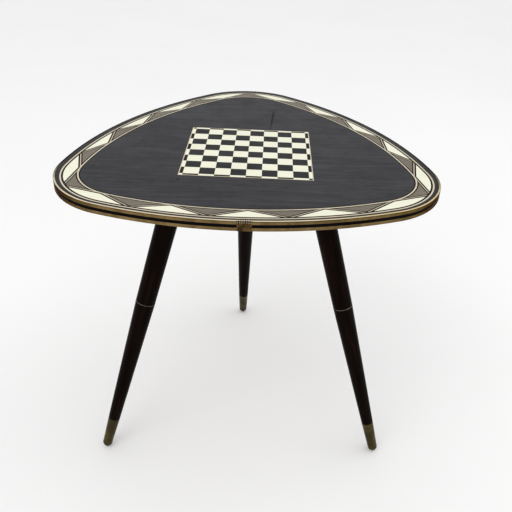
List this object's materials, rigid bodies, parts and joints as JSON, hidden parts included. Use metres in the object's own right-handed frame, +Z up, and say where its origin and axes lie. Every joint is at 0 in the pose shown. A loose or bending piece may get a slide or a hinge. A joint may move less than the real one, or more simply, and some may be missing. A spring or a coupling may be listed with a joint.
{
  "type": "chess side table",
  "caption": "Side table with a round-cornered triangular top, inlaid chess board and zigzag border, metal edging and splayed, tapered legs that unscrew in halves.",
  "frame": {"origin": "on the floor under the middle of the bounding box", "axes": "+X along the long front edge, to the right of a person facing it; +Y to the back corner; +Z up"},
  "size_m": [0.61, 0.5959, 0.5706],
  "materials": {
    "panel_wood": "raw",
    "backing_wood": "satin",
    "ebonised_wood": "satin",
    "black_wood": "satin",
    "ivory_wood": "satin",
    "grey_wood": "satin",
    "light_wood": "satin",
    "edging_brass": "satin",
    "clip_bronze": "dull",
    "insert_plastic": "matte",
    "plate_steel": "satin",
    "steel": "plain",
    "thread_brass": "plain",
    "leg_wood": "lacquered",
    "ferrule_brass": "dull",
    "glide_plastic": "matte"
  },
  "bodies": {
    "top": {"top_core": "panel_wood", "backing_sheet": "backing_wood", "trim_pins": "steel", "edge_trim": "edging_brass", "trim_insert": "insert_plastic", "trim_joint_clip": "clip_bronze", "outer_dark_band": "ebonised_wood", "outer_light_line": "light_wood", "outer_black_line": "black_wood", "inner_light_line": "light_wood", "inner_black_line": "black_wood", "zigzag_ivory": "ivory_wood", "zigzag_light": "light_wood", "zigzag_grey": "grey_wood", "zigzag_black": "black_wood", "field_veneer": "ebonised_wood", "board_light_line": "light_wood", "board_light_squares": "ivory_wood", "board_dark_squares": "ebonised_wood", "board_light_cells": "ivory_wood", "board_dark_cells": "black_wood", "plate_screws": "steel", "leg_plate_left": "plate_steel", "leg_plate_right": "plate_steel", "leg_plate_back": "plate_steel"},
    "washer_left": {"top_washer_left": "steel"},
    "upper_left": {"upper_leg_left": "leg_wood", "top_stud_left": "steel", "joint_bush_left": "thread_brass"},
    "ring_left": {"joint_ring_left": "thread_brass"},
    "lower_left": {"lower_leg_left": "leg_wood", "joint_stud_left": "steel", "ferrule_left": "ferrule_brass", "ferrule_nail_left": "ferrule_brass", "foot_glide_left": "glide_plastic"},
    "washer_right": {"top_washer_right": "steel"},
    "upper_right": {"upper_leg_right": "leg_wood", "top_stud_right": "steel", "joint_bush_right": "thread_brass"},
    "ring_right": {"joint_ring_right": "thread_brass"},
    "lower_right": {"lower_leg_right": "leg_wood", "joint_stud_right": "steel", "ferrule_right": "ferrule_brass", "ferrule_nail_right": "ferrule_brass", "foot_glide_right": "glide_plastic"},
    "washer_back": {"top_washer_back": "steel"},
    "upper_back": {"upper_leg_back": "leg_wood", "top_stud_back": "steel", "joint_bush_back": "thread_brass"},
    "ring_back": {"joint_ring_back": "thread_brass"},
    "lower_back": {"lower_leg_back": "leg_wood", "joint_stud_back": "steel", "ferrule_back": "ferrule_brass", "ferrule_nail_back": "ferrule_brass", "foot_glide_back": "glide_plastic"}
  },
  "joints": [
    {"name": "leg_travel_left", "type": "slide", "parent": "top", "child": "washer_left", "axis": [-0.2647, -0.1528, -0.9521], "range_m": [0, 0.0176]},
    {"name": "leg_turn_left", "type": "hinge", "parent": "washer_left", "child": "upper_left", "pos_m": [-0.265, -0.18706, 0], "axis": [-0.2647, -0.1528, -0.9521], "range_deg": [0, 5040]},
    {"name": "foot_travel_left", "type": "slide", "parent": "upper_left", "child": "ring_left", "axis": [-0.2647, -0.1528, -0.9521], "range_m": [0, 0.0176]},
    {"name": "foot_turn_left", "type": "hinge", "parent": "ring_left", "child": "lower_left", "pos_m": [-0.265, -0.18706, 0], "axis": [-0.2647, -0.1528, -0.9521], "range_deg": [0, 5040]},
    {"name": "leg_travel_right", "type": "slide", "parent": "top", "child": "washer_right", "axis": [0.2647, -0.1528, -0.9521], "range_m": [0, 0.0176]},
    {"name": "leg_turn_right", "type": "hinge", "parent": "washer_right", "child": "upper_right", "pos_m": [0.265, -0.18706, 0], "axis": [0.2647, -0.1528, -0.9521], "range_deg": [0, 5040]},
    {"name": "foot_travel_right", "type": "slide", "parent": "upper_right", "child": "ring_right", "axis": [0.2647, -0.1528, -0.9521], "range_m": [0, 0.0176]},
    {"name": "foot_turn_right", "type": "hinge", "parent": "ring_right", "child": "lower_right", "pos_m": [0.265, -0.18706, 0], "axis": [0.2647, -0.1528, -0.9521], "range_deg": [0, 5040]},
    {"name": "leg_travel_back", "type": "slide", "parent": "top", "child": "washer_back", "axis": [0, 0.3057, -0.9521], "range_m": [0, 0.0176]},
    {"name": "leg_turn_back", "type": "hinge", "parent": "washer_back", "child": "upper_back", "pos_m": [0, 0.27194, 0], "axis": [0, 0.3057, -0.9521], "range_deg": [0, 5040]},
    {"name": "foot_travel_back", "type": "slide", "parent": "upper_back", "child": "ring_back", "axis": [0, 0.3057, -0.9521], "range_m": [0, 0.0176]},
    {"name": "foot_turn_back", "type": "hinge", "parent": "ring_back", "child": "lower_back", "pos_m": [0, 0.27194, 0], "axis": [0, 0.3057, -0.9521], "range_deg": [0, 5040]}
  ],
  "couplings": [
    {"joint": "leg_travel_left", "follows": "leg_turn_left", "m_per_rad": 0.00019894},
    {"joint": "foot_travel_left", "follows": "foot_turn_left", "m_per_rad": 0.00019894},
    {"joint": "leg_travel_right", "follows": "leg_turn_right", "m_per_rad": 0.00019894},
    {"joint": "foot_travel_right", "follows": "foot_turn_right", "m_per_rad": 0.00019894},
    {"joint": "leg_travel_back", "follows": "leg_turn_back", "m_per_rad": 0.00019894},
    {"joint": "foot_travel_back", "follows": "foot_turn_back", "m_per_rad": 0.00019894}
  ]
}
